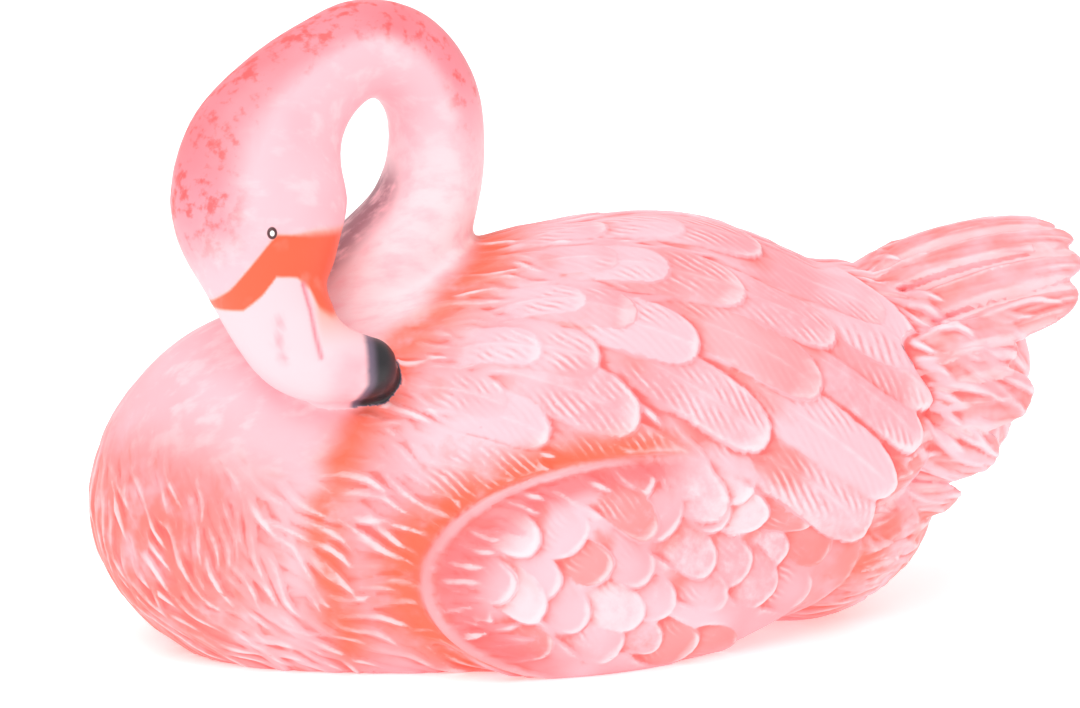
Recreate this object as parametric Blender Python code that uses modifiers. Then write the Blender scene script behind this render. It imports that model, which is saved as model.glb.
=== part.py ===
"""A resting flamingo, cast in one piece of resin, that stands in a garden on its flat underside.

The bird faces -X, its tail points to +X and its left side to -Y; +Z is up. The origin is the middle
of the underside. Lengths are in metres. The smooth form comes first: trunk, wings, flanks, neck and
rump are joined and their joins rounded, then the tail feathers go on. The carved plumage is a relief
that lifts the skin along its normals, one feather after another, so that each overlaps the next.
"""

import math

import bmesh
import bpy
import numpy as np
from mathutils import Vector
from mathutils.bvhtree import BVHTree

# Trunk, from breast to rump without the tail feathers; the breast's reach is measured from the origin
BODY_LENGTH = 0.306
BODY_WIDTH = 0.148
BODY_HEIGHT = 0.166
BREAST_REACH = 0.1265

# Neck loop, measured along the middle of the neck from its foot on the back
LOOP_REACH = 0.068
LOOP_HEIGHT = 0.0815
NECK_THICKNESS = 0.0336

# Wings and flanks, one of each on both sides
WING_LENGTH = 0.180
WING_HEIGHT = 0.092
WING_THICKNESS = 0.052
FLANK_LENGTH = 0.160
FLANK_HEIGHT = 0.0815
FLANK_THICKNESS = 0.046

# Tail: a rosette of feathers round the rump; its length is what stands out behind the trunk
TAIL_LENGTH = 0.0465
TAIL_WIDTH = 0.076
TAIL_HEIGHT = 0.110
TAIL_FEATHER_LENGTH = 0.088
TAIL_FEATHER_WIDTH = 0.026
TAIL_FEATHER_THICKNESS = 0.008
TAIL_FEATHER_ARCH = 0.0070

# Relief on the skin
WING_FEATHER_LENGTH = 0.064
WING_FEATHER_WIDTH = 0.0215
WING_FEATHER_HEIGHT = 0.0034
FLANK_STEP = 0.0018
FLANK_SCALE_LENGTH = 0.024
FLANK_SCALE_WIDTH = 0.0185
FLANK_SCALE_HEIGHT = 0.0022
TUFT_LENGTH = 0.024
TUFT_WIDTH = 0.0115
TUFT_HEIGHT = 0.0016
EDGE_SOFTNESS = 0.0015

# Fineness of the mesh
FORM_CELL = 0.0030
RELIEF_CELL = 0.0022
JOIN_SMOOTHING = 8
TRIANGLES = 9300

# Places of the parts as shares of the trunk: its length behind the breast, its half width, its height
WING_MIDDLE = (0.675, 0.554, 0.518)
FLANK_MIDDLE = (0.610, 0.676, 0.219)
STERN_MIDDLE = (0.820, 0.0, 0.270)
STERN_SIZE = (0.350, 1.36, 0.57)
NECK_FOOT = (0.3415, 0.027, 0.777)
TAIL_MIDDLE = (1.0, 0.0, 0.506)
TAIL_ROOTS = 0.66
TAIL_FEATHER_FLARE = 0.20
AXIS_HEIGHT = 0.434

TRUNK_LINE = (
    # place from breast (-1) to rump (1), height of the middle, half width, half height
    (-1.00, 0.305, 1.06, 1.10),
    (-0.80, 0.322, 1.02, 1.06),
    (-0.60, 0.322, 0.97, 1.00),
    (-0.20, 0.355, 0.97, 0.95),
    (0.05, 0.386, 1.00, 0.97),
    (0.40, 0.424, 0.97, 0.99),
    (0.60, 0.414, 0.90, 1.00),
    (0.75, 0.400, 0.82, 1.01),
    (0.90, 0.404, 0.74, 0.96),
    (1.00, 0.422, 0.66, 0.85),
)
LOWER_SQUARENESS = 2.38
NARROWING_UPWARDS = 0.12

RUMP_LINE = (
    # place behind the breast, height of the middle, half height, half width
    (0.773, 0.482, 0.602, 0.676),
    (0.871, 0.482, 0.578, 0.595),
    (0.936, 0.506, 0.554, 0.486),
    (0.995, 0.556, 0.500, 0.450),
    (1.026, 0.632, 0.370, 0.380),
    (1.045, 0.705, 0.200, 0.270),
    (1.056, 0.735, 0.070, 0.120),
)

NECK_LINE = (
    # from the foot of the neck round the crown to the tip of the bill: shares of the loop's reach
    # forwards and to the bird's left and of its height, then half depth and half width as shares of
    # the neck's thickness
    (0.620, 0.00, -0.760, 1.01, 1.25),
    (0.340, 0.00, -0.400, 0.95, 1.13),
    (0.000, 0.00, 0.000, 0.70, 0.76),
    (-0.200, -0.02, 0.260, 0.56, 0.60),
    (-0.275, -0.01, 0.530, 0.51, 0.52),
    (-0.235, 0.00, 0.780, 0.50, 0.50),
    (-0.080, 0.05, 0.940, 0.50, 0.50),
    (0.100, 0.10, 0.980, 0.50, 0.50),
    (0.300, 0.17, 0.905, 0.53, 0.51),
    (0.490, 0.26, 0.770, 0.64, 0.55),
    (0.635, 0.36, 0.570, 0.83, 0.60),
    (0.680, 0.48, 0.340, 0.89, 0.62),
    (0.665, 0.58, 0.145, 0.735, 0.57),
    (0.640, 0.67, 0.000, 0.565, 0.46),
    (0.590, 0.72, -0.092, 0.53, 0.43),
    (0.525, 0.77, -0.175, 0.51, 0.42),
    (0.415, 0.81, -0.238, 0.45, 0.39),
    (0.305, 0.83, -0.258, 0.38, 0.35),
    (0.190, 0.84, -0.268, 0.32, 0.30),
    (0.100, 0.84, -0.268, 0.27, 0.26),
    (0.045, 0.84, -0.268, 0.12, 0.12),
)

TAIL_FEATHERS = (
    # angle from the top of the rosette in degrees, then as shares of the longest feather: how far the
    # tip falls short, the feather's length, and how much lower its root starts
    (0, 0.034, 0.97, 0.034),
    (17, 0.000, 1.00, 0.068),
    (33, 0.000, 1.00, 0.160),
    (48, 0.045, 0.93, 0.270),
    (68, 0.330, 0.70, 0.136),
    (88, 0.260, 0.75, 0.045),
    (110, 0.386, 0.68, 0.000),
    (133, 0.523, 0.64, 0.000),
    (158, 0.670, 0.59, 0.000),
)

WING_TIPS = (
    # the long feathers at the rear of the wing: angle of the tip from the top of the body, its place
    # behind the breast, length, width and height of the tip as shares of a wing feather's, and the
    # slant downwards
    (124, 0.871, 0.97, 1.09, 1.18, 36),
    (106, 0.894, 1.00, 0.93, 1.29, 38),
    (92, 0.926, 1.03, 0.93, 1.41, 38),
    (75, 0.949, 1.03, 0.98, 1.41, 38),
    (58, 0.936, 1.00, 1.07, 1.29, 36),
)
WING_ROWS = (
    # place of the row behind the breast at 60 degrees from the top, length, width and height of the
    # tip as shares of a wing feather's, slant downwards, the angles where the row starts and ends,
    # and the angle from one feather to the next
    (0.830, 1.00, 1.00, 1.00, 34, 30, 104, 16.5),
    (0.648, 0.81, 1.05, 0.88, 22, 6, 99, 20.5),
    (0.560, 0.59, 0.84, 0.71, 18, 8, 78, 15.5),
    (0.478, 0.47, 0.70, 0.53, 14, 6, 70, 14.0),
)
ROW_LEVEL = 60
ROW_TOP_LIMIT = 25
ROW_SLOPE = 0.00343
FLANK_RIM = 0.88
FLANK_ROOTS = 0.97
SCALE_GAPS = (0.90, 0.73)
FLANK_SLANT = 34
TUFT_ROWS = (0.328, 0.05, 0.044)
TUFT_ANGLES = (142, 66, 10.5)
TUFT_SLANTS = (30, 62)

PINK = (0.90, 0.42, 0.40, 1.0)


def in_body(along, across, up):
    """A place given as shares of the trunk."""
    x = along * BODY_LENGTH - BREAST_REACH
    y = across * BODY_WIDTH / 2
    z = up * BODY_HEIGHT
    return np.array([x, y, z])


def curve(stations, at):
    """A smooth curve through (place, value, ...) rows, read at each of the places asked for."""
    rows = np.array(stations, float)
    place, value = rows[:, 0], rows[:, 1:]
    slope = np.gradient(value, place, axis=0)
    at = np.clip(at, place[0], place[-1])
    low = np.clip(np.searchsorted(place, at, side="right") - 1, 0, len(place) - 2)
    span = (place[low + 1] - place[low])[:, None]
    t = (at - place[low])[:, None] / span
    start = (2 * t**3 - 3 * t**2 + 1) * value[low] + (t**3 - 2 * t**2 + t) * span * slope[low]
    end = (3 * t**2 - 2 * t**3) * value[low + 1] + (t**3 - t**2) * span * slope[low + 1]
    return start + end


def object_from(bm, name):
    """The edited mesh as an object, with its faces pointing out."""
    bmesh.ops.recalc_face_normals(bm, faces=bm.faces)
    mesh = bpy.data.meshes.new(name)
    bm.to_mesh(mesh)
    bm.free()
    obj = bpy.data.objects.new(name, mesh)
    bpy.context.scene.collection.objects.link(obj)
    return obj


def shaped_sphere(name, shape, around=48, along=40):
    """A sphere with its poles on X, whose points go through shape(c, ring, angle): c runs from -1 to 1
    along X, ring is the radius there, and angle is 0 on the +Y side and a quarter turn at the top."""
    bm = bmesh.new()
    bmesh.ops.create_uvsphere(bm, u_segments=around, v_segments=along, radius=1)
    points = np.array([v.co for v in bm.verts])
    c, y, z = points[:, 2], points[:, 0], points[:, 1]
    shaped = shape(c, np.hypot(y, z), np.arctan2(z, y))
    for vertex, place in zip(bm.verts, shaped):
        vertex.co = place
    return object_from(bm, name)


def sweep(name, middle, half_depth, half_width, around=28):
    """A closed form through elliptical rings round a line; their width lies across the bird."""
    forward = np.gradient(middle, axis=0)
    forward /= np.linalg.norm(forward, axis=1)[:, None]
    across = np.array([0.0, 1.0, 0.0])
    wide = across - (forward @ across)[:, None] * forward
    wide /= np.linalg.norm(wide, axis=1)[:, None]
    deep = np.cross(wide, forward)
    turn = np.linspace(0, 2 * math.pi, around, endpoint=False)
    bm = bmesh.new()
    rings = []
    for i, centre in enumerate(middle):
        up_and_down = np.outer(np.cos(turn), deep[i] * half_depth[i])
        sideways = np.outer(np.sin(turn), wide[i] * half_width[i])
        rings.append([bm.verts.new(p) for p in centre + up_and_down + sideways])
    for low, high in zip(rings, rings[1:]):
        for k in range(around):
            n = (k + 1) % around
            bm.faces.new((low[k], low[n], high[n], high[k]))
    bm.faces.new(rings[0])
    bm.faces.new(rings[-1])
    return object_from(bm, name)


def egg(name, side, centre, size, lean=0.0, dip=0.0, turn=0.0, taper=0.0):
    """An egg on the bird's left (side -1) or right (1). Its top leans inwards, its rear end dips and
    turns inwards, all in degrees, and taper makes it thinner to the rear."""
    lean, dip, turn = (math.radians(a) for a in (lean, dip, turn))
    long_axis = np.array([math.cos(dip) * math.cos(turn), -math.sin(turn), -math.sin(dip)])
    long_axis /= np.linalg.norm(long_axis)
    up = np.array([0.0, -math.sin(lean), math.cos(lean)])
    across = np.cross(up, long_axis)
    across /= np.linalg.norm(across)
    frame = np.stack([long_axis, across, np.cross(long_axis, across)])

    def shape(c, ring, angle):
        thick = ring * (1 - taper * c)
        local = np.stack([c, thick * np.cos(angle), thick * np.sin(angle)], axis=1)
        return (local * size / 2 @ frame + centre) * [1, side, 1]

    return shaped_sphere(name, shape)


def trunk():
    def shape(c, ring, angle):
        middle, half_width, half_height = curve(TRUNK_LINE, c).T
        exponent = np.where(np.sin(angle) < 0, LOWER_SQUARENESS, 2.0)
        edge = np.abs(np.cos(angle)) ** exponent + np.abs(np.sin(angle)) ** exponent
        reach = ring * edge ** (-1 / exponent)
        narrow = 1 - NARROWING_UPWARDS * np.sin(angle)
        across = half_width * reach * np.cos(angle) * narrow
        up = middle + half_height * reach * np.sin(angle) / 2
        return in_body((c + 1) / 2, across, up).T

    return shaped_sphere("trunk", shape)


def neck():
    rows = np.array(NECK_LINE)
    points = in_body(*NECK_FOOT) + rows[:, :3] * [-LOOP_REACH, -LOOP_REACH, LOOP_HEIGHT]
    steps = np.linalg.norm(np.diff(points, axis=0), axis=1)
    along = np.concatenate([[0], np.cumsum(steps)])
    table = np.column_stack([along, points, rows[:, 3:] * NECK_THICKNESS])
    read = curve(table, np.linspace(0, along[-1], 90))
    return sweep("neck", read[:, :3], read[:, 3], read[:, 4])


def rump():
    rows = np.array(RUMP_LINE)
    middle = np.array([in_body(along, 0, up) for along, up in rows[:, :2]])
    return sweep("rump", middle, rows[:, 2] * BODY_HEIGHT / 2, rows[:, 3] * BODY_WIDTH / 2)


def stern():
    """The underside of the rump, which rises from the ground."""
    size = np.array(STERN_SIZE) * [BODY_LENGTH, BODY_WIDTH / 2, BODY_HEIGHT]
    return egg("stern", 1, in_body(*STERN_MIDDLE), size, dip=-3, taper=0.06)


def wing(side):
    size = (WING_LENGTH, WING_THICKNESS, WING_HEIGHT)
    return egg("wing", side, in_body(*WING_MIDDLE), size, lean=22, dip=7, turn=5)


def flank(side):
    size = (FLANK_LENGTH, FLANK_THICKNESS, FLANK_HEIGHT)
    return egg("flank", side, in_body(*FLANK_MIDDLE), size, turn=12, dip=-0.5, taper=0.22)


def tail_feathers():
    """The leaves of the tail, from the lowest ones to the top one."""
    leaves = []
    for angle, *shares in reversed(TAIL_FEATHERS):
        short, length, lower = np.array(shares) * TAIL_FEATHER_LENGTH
        for side in (-1, 1) if angle else (1,):
            turn = math.radians(angle)
            outward = np.array([0.0, side * math.sin(turn), math.cos(turn)])
            ring = outward * [0, TAIL_WIDTH / 2, TAIL_HEIGHT / 2]
            middle = in_body(*TAIL_MIDDLE)
            tip = middle + ring + [TAIL_LENGTH - short, 0, 0]
            root = middle + ring * TAIL_ROOTS + [TAIL_LENGTH - short - length, 0, -lower]
            leaves.append(leaf(root, tip, outward))
    return leaves


def leaf(root, tip, outward):
    """A flat leaf of a tail feather with a rounded tip, thickest along its shaft."""
    along = tip - root
    length = np.linalg.norm(along)
    along /= length
    side = np.cross(outward, along)
    side /= np.linalg.norm(side)
    up = np.cross(along, side)

    def shape(c, ring, angle):
        full = np.sqrt(np.clip(1 - np.abs(c) ** 3.2, 0, 1))
        breadth = TAIL_FEATHER_WIDTH / 2 * (1 + TAIL_FEATHER_FLARE * (c - 1))
        arch = TAIL_FEATHER_ARCH * (1 - c**2)
        x = length * (c + 1) / 2
        y = full * breadth * np.cos(angle)
        z = full * TAIL_FEATHER_THICKNESS / 2 * np.sin(angle) + arch
        return root + np.outer(x, along) + np.outer(y, side) + np.outer(z, up)

    return shaped_sphere("tail_feather", shape, around=20, along=24)


def baked(obj):
    """The object with its modifiers turned into mesh."""
    graph = bpy.context.evaluated_depsgraph_get()
    mesh = bpy.data.meshes.new_from_object(obj.evaluated_get(graph))
    obj.modifiers.clear()
    obj.data = mesh
    return obj


def joined(name, parts, cell, smoothing):
    """One closed skin round all the parts, with its joins rounded by smoothing."""
    bm = bmesh.new()
    for part in parts:
        bm.from_mesh(part.data)
        bpy.data.objects.remove(part)
    obj = object_from(bm, name)
    remesh = obj.modifiers.new("Skin", "REMESH")
    remesh.mode = "VOXEL"
    remesh.voxel_size = cell
    smooth = obj.modifiers.new("Rounded joins", "SMOOTH")
    smooth.factor = 0.5
    smooth.iterations = smoothing
    return baked(obj)


class Feather:
    """A feather lying on the skin: where it starts, which way it runs, and how high its tip stands."""

    def __init__(self, tip, normal, slant, size):
        self.normal = np.array(normal)
        heading = np.array([math.cos(slant), 0, -math.sin(slant)])
        along = heading - heading @ self.normal * self.normal
        self.along = along / np.linalg.norm(along)
        self.across = np.cross(self.normal, self.along)
        self.length, self.width, self.height = size
        self.root = np.array(tip) - self.along * self.length

    def cover(self, points, normals, lift):
        """Brings the lift of the points that lie under this feather to its own height."""
        offset = points - self.root
        u = offset @ self.along / self.length
        v = offset @ self.across / (self.width / 2)
        under = (u > -0.1) & (u < 1) & (np.abs(v) < 1) & (normals @ self.normal > 0.2)
        under &= np.abs(offset @ self.normal) < 0.6 * self.length
        u, v = u[under], v[under]
        tip = np.clip((u - 0.55) / 0.45, 0, None)
        outline = (np.abs(v) ** 2.6 + tip**2.6) ** (1 / 2.6)
        inside = np.clip((1 - outline) * self.width / 2 / EDGE_SOFTNESS, 0, 1)
        rooted = np.clip((u + 0.10) / 0.30, 0, 1)
        height = self.height * (0.15 + 0.85 * np.clip(u, 0, 1)) * (1 - 0.45 * v**2)
        lift[under] += (height - lift[under]) * inside * rooted


def skin(obj):
    """Lookup of places on the surface of an object."""
    points = [v.co for v in obj.data.vertices]
    return BVHTree.FromPolygons(points, [f.vertices for f in obj.data.polygons])


def laid(tree, along, angle, side, slant, size):
    """A feather whose tip touches the skin at that place and angle from the top of the body."""
    turn = math.radians(angle)
    outward = Vector((0, side * math.sin(turn), math.cos(turn)))
    tip, normal, _, _ = tree.ray_cast(Vector(in_body(along, 0, AXIS_HEIGHT)), outward)
    return Feather(tip, normal, math.radians(slant), size)


def wing_feathers(tree):
    """The rows of the back and wings, rear rows first, each row from its lowest feather upwards."""
    found = []
    size = np.array([WING_FEATHER_LENGTH, WING_FEATHER_WIDTH, WING_FEATHER_HEIGHT])
    for angle, along, length, width, height, slant in WING_TIPS:
        for side in (-1, 1):
            found.append(laid(tree, along, angle, side, slant, size * (length, width, height)))
    for place, length, width, height, slant, top, bottom, step in WING_ROWS:
        for angle in np.arange(bottom, top, -step):
            along = place - (max(angle, ROW_TOP_LIMIT) - ROW_LEVEL) * ROW_SLOPE
            for side in (-1, 1):
                found.append(laid(tree, along, angle, side, slant, size * (length, width, height)))
    return found


def flank_reach(x, z):
    """Distance from the middle of the flank, 1 at its outline."""
    middle = in_body(*FLANK_MIDDLE)
    return np.hypot((x - middle[0]) / (FLANK_LENGTH / 2), (z - middle[2]) / (FLANK_HEIGHT / 2))


def flank_scales(tree):
    """Rounded scales in staggered rows inside the rim of each flank."""
    found = []
    middle = in_body(*FLANK_MIDDLE)
    slant = math.radians(FLANK_SLANT)
    size = (FLANK_SCALE_LENGTH, FLANK_SCALE_WIDTH, FLANK_SCALE_HEIGHT)
    gap_along, gap_up = np.array(SCALE_GAPS) * FLANK_SCALE_WIDTH
    covered = 0.8 * FLANK_SCALE_LENGTH
    for column in range(5, -6, -1):
        for row in range(-3, 4):
            x = middle[0] + (column + (row % 2) / 2) * gap_along
            z = middle[2] + row * gap_up
            root_x = x - covered * math.cos(slant)
            root_z = z + covered * math.sin(slant)
            if flank_reach(x, z) > FLANK_RIM or flank_reach(root_x, root_z) > FLANK_ROOTS:
                continue
            for side in (-1, 1):
                tip, normal, _, _ = tree.ray_cast(Vector((x, side, z)), Vector((0, -side, 0)))
                found.append(Feather(tip, normal, slant, size))
    return found


def breast_tufts(tree):
    """Tufts that run down the breast and sweep back round its sides."""
    found = []
    size = (TUFT_LENGTH, TUFT_WIDTH, TUFT_HEIGHT)
    rear, front, between = TUFT_ROWS
    low, high, step = TUFT_ANGLES
    for row, along in enumerate(np.arange(rear, front, -between)):
        for angle in np.arange(low - (row % 2) * step / 2, high, -step):
            slant = np.interp(angle, (high, low), TUFT_SLANTS[::-1])
            for side in (-1, 1):
                found.append(laid(tree, along, angle, side, slant, size))
    return found


def carve(obj, feathers):
    """Lifts the skin at the flanks' edges and under the feathers that lie on it."""
    mesh = obj.data
    points = np.array([v.co for v in mesh.vertices])
    normals = np.array([v.normal for v in mesh.vertices])
    reach = flank_reach(points[:, 0], points[:, 2])
    lift = FLANK_STEP * np.clip((1 - reach) * FLANK_HEIGHT / 2 / EDGE_SOFTNESS, 0, 1)
    lift *= np.abs(normals[:, 1]) > 0.5
    for feather in feathers:
        feather.cover(points, normals, lift)
    points += normals * lift[:, None]
    mesh.vertices.foreach_set("co", points.ravel())
    mesh.update()


def simplified(obj, triangles):
    """Fewer triangles, kept where the form turns most."""
    count = sum(len(f.vertices) - 2 for f in obj.data.polygons)
    decimate = obj.modifiers.new("Fewer triangles", "DECIMATE")
    decimate.ratio = triangles / count
    return baked(obj)


def stand_flat(obj):
    """Cuts the form off at the ground and closes it with one flat face."""
    bm = bmesh.new()
    bm.from_mesh(obj.data)
    geometry = bm.verts[:] + bm.edges[:] + bm.faces[:]
    cut = bmesh.ops.bisect_plane(
        bm, geom=geometry, plane_co=(0, 0, 0), plane_no=(0, 0, -1), clear_outer=True
    )
    rim = [e for e in cut["geom_cut"] if isinstance(e, bmesh.types.BMEdge)]
    bmesh.ops.contextual_create(bm, geom=rim)
    bmesh.ops.recalc_face_normals(bm, faces=bm.faces)
    bm.to_mesh(obj.data)
    bm.free()


def painted_resin():
    material = bpy.data.materials.new("painted_resin")
    material.use_nodes = True
    shader = material.node_tree.nodes["Principled BSDF"]
    shader.inputs["Base Color"].default_value = PINK
    shader.inputs["Roughness"].default_value = 0.42
    shader.inputs["Metallic"].default_value = 0.0
    return material


def main():
    for obj in list(bpy.data.objects):
        bpy.data.objects.remove(obj)
    parts = [trunk(), neck(), rump(), stern(), wing(-1), wing(1), flank(-1), flank(1)]
    core = joined("core", parts, FORM_CELL, JOIN_SMOOTHING)
    tree = skin(core)
    feathers = breast_tufts(tree) + flank_scales(tree) + wing_feathers(tree)
    statue = joined("flamingo", [core, *tail_feathers()], RELIEF_CELL, 1)
    carve(statue, feathers)
    simplified(statue, TRIANGLES)
    stand_flat(statue)
    statue.data.materials.append(painted_resin())
    collection = bpy.data.collections.new("flamingo_garden_statue")
    bpy.context.scene.collection.children.link(collection)
    bpy.context.scene.collection.objects.unlink(statue)
    collection.objects.link(statue)


main()
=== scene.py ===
"""Looks of the flamingo garden statue: its finely carved skin, its paint, and a plain studio.

The smooth form is built as in the part's source, from the same sizes, but with a finer mesh. The
plumage is carved into it feather by feather, and the carving also says where the paint is rubbed
bright and where colour stays in the hollows; this paint also stands in for light and shade, as
painted highlight on what stands out and painted shade in the hollows. Lengths are in metres; the
bird faces -X, its left side is -Y, and +Z is up.
"""

import math

import bmesh
import bpy
import numpy as np
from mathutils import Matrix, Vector
from mathutils.bvhtree import BVHTree


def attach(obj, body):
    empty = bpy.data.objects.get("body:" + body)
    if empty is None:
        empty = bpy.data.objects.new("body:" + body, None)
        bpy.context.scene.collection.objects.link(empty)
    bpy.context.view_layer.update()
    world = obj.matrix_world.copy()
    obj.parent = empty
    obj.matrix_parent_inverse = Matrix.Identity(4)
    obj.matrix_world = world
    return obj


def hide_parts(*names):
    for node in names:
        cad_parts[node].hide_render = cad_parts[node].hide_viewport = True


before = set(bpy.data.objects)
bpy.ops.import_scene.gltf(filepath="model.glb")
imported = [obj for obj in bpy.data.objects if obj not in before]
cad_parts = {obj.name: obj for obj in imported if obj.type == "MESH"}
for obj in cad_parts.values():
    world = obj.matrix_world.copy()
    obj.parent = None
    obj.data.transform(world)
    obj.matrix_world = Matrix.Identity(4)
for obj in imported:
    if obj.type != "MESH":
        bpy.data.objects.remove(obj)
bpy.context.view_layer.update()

# Driving sizes, as in the part's source
BODY_LENGTH = 0.306
BODY_WIDTH = 0.148
BODY_HEIGHT = 0.166
BREAST_REACH = 0.1265
LOOP_REACH = 0.068
LOOP_HEIGHT = 0.0815
NECK_THICKNESS = 0.0336
WING_LENGTH = 0.180
WING_HEIGHT = 0.092
WING_THICKNESS = 0.052
FLANK_LENGTH = 0.160
FLANK_HEIGHT = 0.0815
FLANK_THICKNESS = 0.046
TAIL_LENGTH = 0.0465
TAIL_WIDTH = 0.076
TAIL_HEIGHT = 0.110
TAIL_FEATHER_LENGTH = 0.088
TAIL_FEATHER_WIDTH = 0.026
TAIL_FEATHER_THICKNESS = 0.008
TAIL_FEATHER_ARCH = 0.0070
WING_FEATHER_LENGTH = 0.064
WING_FEATHER_WIDTH = 0.0215
WING_FEATHER_HEIGHT = 0.0034
FLANK_STEP = 0.0018
FLANK_SCALE_LENGTH = 0.024
FLANK_SCALE_WIDTH = 0.0185
FLANK_SCALE_HEIGHT = 0.0024
SCALE_SPREAD = (0.0023, 0.0018)
SCALE_GAPS = (0.90, 0.73)
SCALE_SHOWN = 0.8

# Fineness of the mesh
FORM_CELL = 0.0020
JOIN_SMOOTHING = 18
RELIEF_CELL = 0.00085
NORMAL_SOFTENING = 6
TRIANGLES = 194000

# Places of the parts as shares of the trunk: its length behind the breast, its half width, its height
WING_MIDDLE = (0.675, 0.554, 0.518)
FLANK_MIDDLE = (0.610, 0.676, 0.219)
STERN_MIDDLE = (0.820, 0.0, 0.270)
STERN_SIZE = (0.350, 1.36, 0.57)
NECK_FOOT = (0.3415, 0.027, 0.777)
TAIL_MIDDLE = (1.0, 0.0, 0.506)
TAIL_ROOTS = 0.66
TAIL_FEATHER_FLARE = 0.20
AXIS_HEIGHT = 0.434

TRUNK_LINE = (
    # place from breast (-1) to rump (1), height of the middle, half width, half height
    (-1.00, 0.305, 1.06, 1.10),
    (-0.80, 0.322, 1.02, 1.06),
    (-0.60, 0.322, 0.97, 1.00),
    (-0.20, 0.355, 0.97, 0.95),
    (0.05, 0.386, 1.00, 0.97),
    (0.40, 0.424, 0.97, 0.99),
    (0.60, 0.414, 0.90, 1.00),
    (0.75, 0.400, 0.82, 1.01),
    (0.90, 0.404, 0.74, 0.96),
    (1.00, 0.422, 0.66, 0.85),
)
LOWER_SQUARENESS = 2.38
NARROWING_UPWARDS = 0.12

RUMP_LINE = (
    # place behind the breast, height of the middle, half height, half width
    (0.773, 0.482, 0.602, 0.676),
    (0.871, 0.482, 0.578, 0.595),
    (0.936, 0.506, 0.554, 0.486),
    (0.995, 0.556, 0.500, 0.450),
    (1.026, 0.632, 0.370, 0.380),
    (1.045, 0.705, 0.200, 0.270),
    (1.056, 0.735, 0.070, 0.120),
)

NECK_LINE = (
    # from the foot of the neck round the crown to the tip of the bill: shares of the loop's reach
    # forwards and to the bird's left and of its height, then half depth and half width as shares of
    # the neck's thickness
    (0.620, 0.00, -0.760, 1.01, 1.25),
    (0.340, 0.00, -0.400, 0.95, 1.13),
    (0.000, 0.00, 0.000, 0.70, 0.76),
    (-0.200, -0.02, 0.260, 0.56, 0.60),
    (-0.275, -0.01, 0.530, 0.51, 0.52),
    (-0.235, 0.00, 0.780, 0.50, 0.50),
    (-0.080, 0.05, 0.940, 0.50, 0.50),
    (0.100, 0.10, 0.980, 0.50, 0.50),
    (0.300, 0.17, 0.905, 0.53, 0.51),
    (0.490, 0.26, 0.770, 0.64, 0.55),
    (0.635, 0.36, 0.570, 0.83, 0.60),
    (0.680, 0.48, 0.340, 0.89, 0.62),
    (0.665, 0.58, 0.145, 0.735, 0.57),
    (0.640, 0.67, 0.000, 0.565, 0.46),
    (0.590, 0.72, -0.092, 0.53, 0.43),
    (0.525, 0.77, -0.175, 0.51, 0.42),
    (0.415, 0.81, -0.238, 0.45, 0.39),
    (0.305, 0.83, -0.258, 0.38, 0.35),
    (0.190, 0.84, -0.268, 0.32, 0.30),
    (0.100, 0.84, -0.268, 0.27, 0.26),
    (0.045, 0.84, -0.268, 0.12, 0.12),
)

TAIL_FEATHERS = (
    # angle from the top of the rosette in degrees, then as shares of the longest feather: how far the
    # tip falls short, the feather's length, and how much lower its root starts
    (0, 0.034, 0.97, 0.034),
    (17, 0.000, 1.00, 0.068),
    (33, 0.000, 1.00, 0.160),
    (48, 0.045, 0.93, 0.270),
    (68, 0.330, 0.70, 0.136),
    (88, 0.260, 0.75, 0.045),
    (110, 0.386, 0.68, 0.000),
    (133, 0.523, 0.64, 0.000),
    (158, 0.670, 0.59, 0.000),
)

WING_TIPS = (
    # the long feathers at the rear of the wing: angle of the tip from the top of the body, its place
    # behind the breast, length, width and height of the tip as shares of a wing feather's, and the
    # slant downwards
    (124, 0.871, 0.97, 1.09, 1.18, 36),
    (106, 0.894, 1.00, 0.93, 1.29, 38),
    (92, 0.926, 1.03, 0.93, 1.41, 38),
    (75, 0.949, 1.03, 0.98, 1.41, 38),
    (58, 0.936, 1.00, 1.07, 1.29, 36),
)
WING_ROWS = (
    # place of the row behind the breast at 60 degrees from the top, length, width and height of the
    # tip as shares of a wing feather's, slant downwards, the angles where the row starts and ends,
    # and the angle from one feather to the next
    (0.830, 1.00, 1.00, 1.00, 34, 30, 104, 16.5),
    (0.648, 0.81, 1.05, 0.88, 22, 6, 99, 20.5),
    (0.560, 0.59, 0.84, 0.71, 18, 8, 78, 15.5),
    (0.478, 0.47, 0.70, 0.53, 14, 6, 70, 14.0),
)
ROW_LEVEL = 60
ROW_TOP_LIMIT = 25
ROW_SLOPE = 0.00343
WING_FEATHER_BEND = 0.22

# How far out the scales of the flank may reach with their tips and roots, and their slant in degrees
FLANK_RIM = 0.88
FLANK_ROOTS = 0.97
FLANK_SLANT = 34

# Rim of the flank: a smooth raised edge, and the hollow inside it
RIM_WIDTH = 0.0020
RIM_HEIGHT = 0.0006
RIM_END = (0.025, 0.060)
HOLLOW_WIDTH = 0.0090

# Along the body, where the wing's feathers start to lie over the flank
WING_COVER = (0.060, 0.080)

# Along the body, where the tail's feathers begin to stand free
WING_END = 0.135
RUMP_START = 0.155

# Distances from the body over which its feathers fade out on the tail
BODY_CLOSENESS = (0.0006, 0.0020)

# Strokes inside the rim of the flank, from its lower front to its top
STROKE_ANGLES = (-50, 100, 7)
STROKE_LENGTH = 0.020
STROKE_WIDTH = 0.0050
STROKE_HEIGHT = 0.0022

# Edge of the smooth neck against the plumage, from the back down to the breast: (x, z)
NECK_EDGE = (
    (0.022, 0.150), (0.014, 0.140), (-0.007, 0.125), (-0.023, 0.112),
    (-0.042, 0.083), (-0.052, 0.063), (-0.052, 0.040), (-0.044, 0.012),
)
SMOOTH_BREAST_HEIGHT = 0.070

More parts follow.
